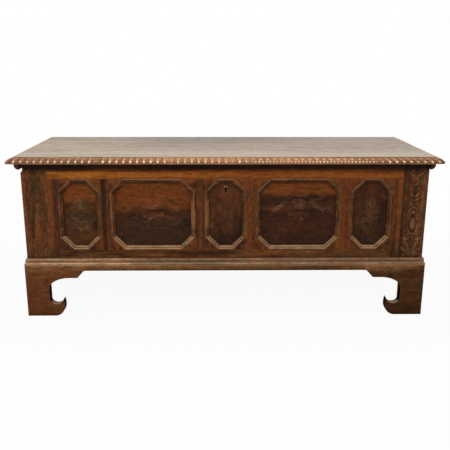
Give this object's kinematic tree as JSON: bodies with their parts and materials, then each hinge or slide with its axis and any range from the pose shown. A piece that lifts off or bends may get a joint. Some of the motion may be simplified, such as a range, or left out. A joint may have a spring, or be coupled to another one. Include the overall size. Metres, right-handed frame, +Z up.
{
  "type": "cassone",
  "caption": "Low joined walnut chest with a hinged lid, carved lid edge, octagonal moulded front panels, carved corner pilasters and hooked bracket feet.",
  "frame": {"origin": "on the floor, under the middle of the lid", "axes": "+X along the length to the viewer's right, -Y out of the panelled front, +Z up"},
  "size_m": [1.65, 0.618, 0.65],
  "materials": {
    "walnut_lid": "worn waxed walnut, greyed on top",
    "walnut_lid_edge": "carved walnut, rubbed bright on the high spots",
    "walnut_frame": "waxed walnut, orange brown",
    "walnut_panel": "dark waxed walnut with faint incised foliage",
    "walnut_moulding": "waxed walnut moulding",
    "walnut_carved": "walnut carved in low relief",
    "walnut_case": "waxed walnut",
    "walnut_base": "waxed walnut, darker near the floor",
    "poplar": "rough unfinished secondary wood",
    "iron": "dark wrought iron"
  },
  "bodies": {
    "carcase": {"back_board": "poplar", "base_rail_back": "poplar", "base_rail_front": "walnut_base", "base_rail_left": "walnut_base", "base_rail_right": "walnut_base", "floor_boards": "poplar", "floor_ledgers": "poplar", "foot_blocks": "poplar", "foot_front_left": "walnut_base", "foot_front_right": "walnut_base", "foot_rear_left": "walnut_base", "foot_rear_right": "walnut_base", "foot_return_left": "walnut_base", "foot_return_right": "walnut_base", "front_bottom_rail": "walnut_frame", "front_panel_1": "walnut_panel", "front_panel_2": "walnut_panel", "front_panel_3": "walnut_panel", "front_panel_4": "walnut_panel", "front_panel_5": "walnut_panel", "front_stile_left": "walnut_frame", "front_stile_right": "walnut_frame", "front_top_rail": "walnut_frame", "hinge_leaf_left": "iron", "hinge_leaf_right": "iron", "hinge_pins": "iron", "lock_case": "iron", "muntin_1": "walnut_frame", "muntin_2": "walnut_frame", "muntin_3": "walnut_frame", "muntin_4": "walnut_frame", "panel_moulding_1": "walnut_moulding", "panel_moulding_2": "walnut_moulding", "panel_moulding_3": "walnut_moulding", "panel_moulding_4": "walnut_moulding", "panel_moulding_5": "walnut_moulding", "pilaster_left": "walnut_carved", "pilaster_right": "walnut_carved", "plinth_moulding_front": "walnut_moulding", "plinth_moulding_left": "walnut_moulding", "plinth_moulding_right": "walnut_moulding", "side_board_left": "walnut_case", "side_board_right": "walnut_case", "spandrels_1": "walnut_frame", "spandrels_2": "walnut_frame", "spandrels_3": "walnut_frame", "spandrels_4": "walnut_frame", "spandrels_5": "walnut_frame"},
    "lid": {"hinge_strap_left": "iron", "hinge_strap_right": "iron", "lid_batten_left": "walnut_case", "lid_batten_right": "walnut_case", "lid_edge_front": "walnut_lid_edge", "lid_edge_left": "walnut_lid_edge", "lid_edge_right": "walnut_lid_edge", "lid_plank_back": "walnut_lid", "lid_plank_front": "walnut_lid", "lock_staple": "iron"},
    "lock_bolt": {"lock_bolt": "iron"}
  },
  "joints": [
    {"name": "lid_hinge", "type": "hinge", "parent": "carcase", "child": "lid", "pos_m": [0, 0.297, 0.624], "axis": [-1, 0, 0], "range_deg": [0, 100]},
    {"name": "bolt_slide", "type": "slide", "parent": "carcase", "child": "lock_bolt", "axis": [1, 0, 0], "range_m": [0, 0.016]}
  ]
}
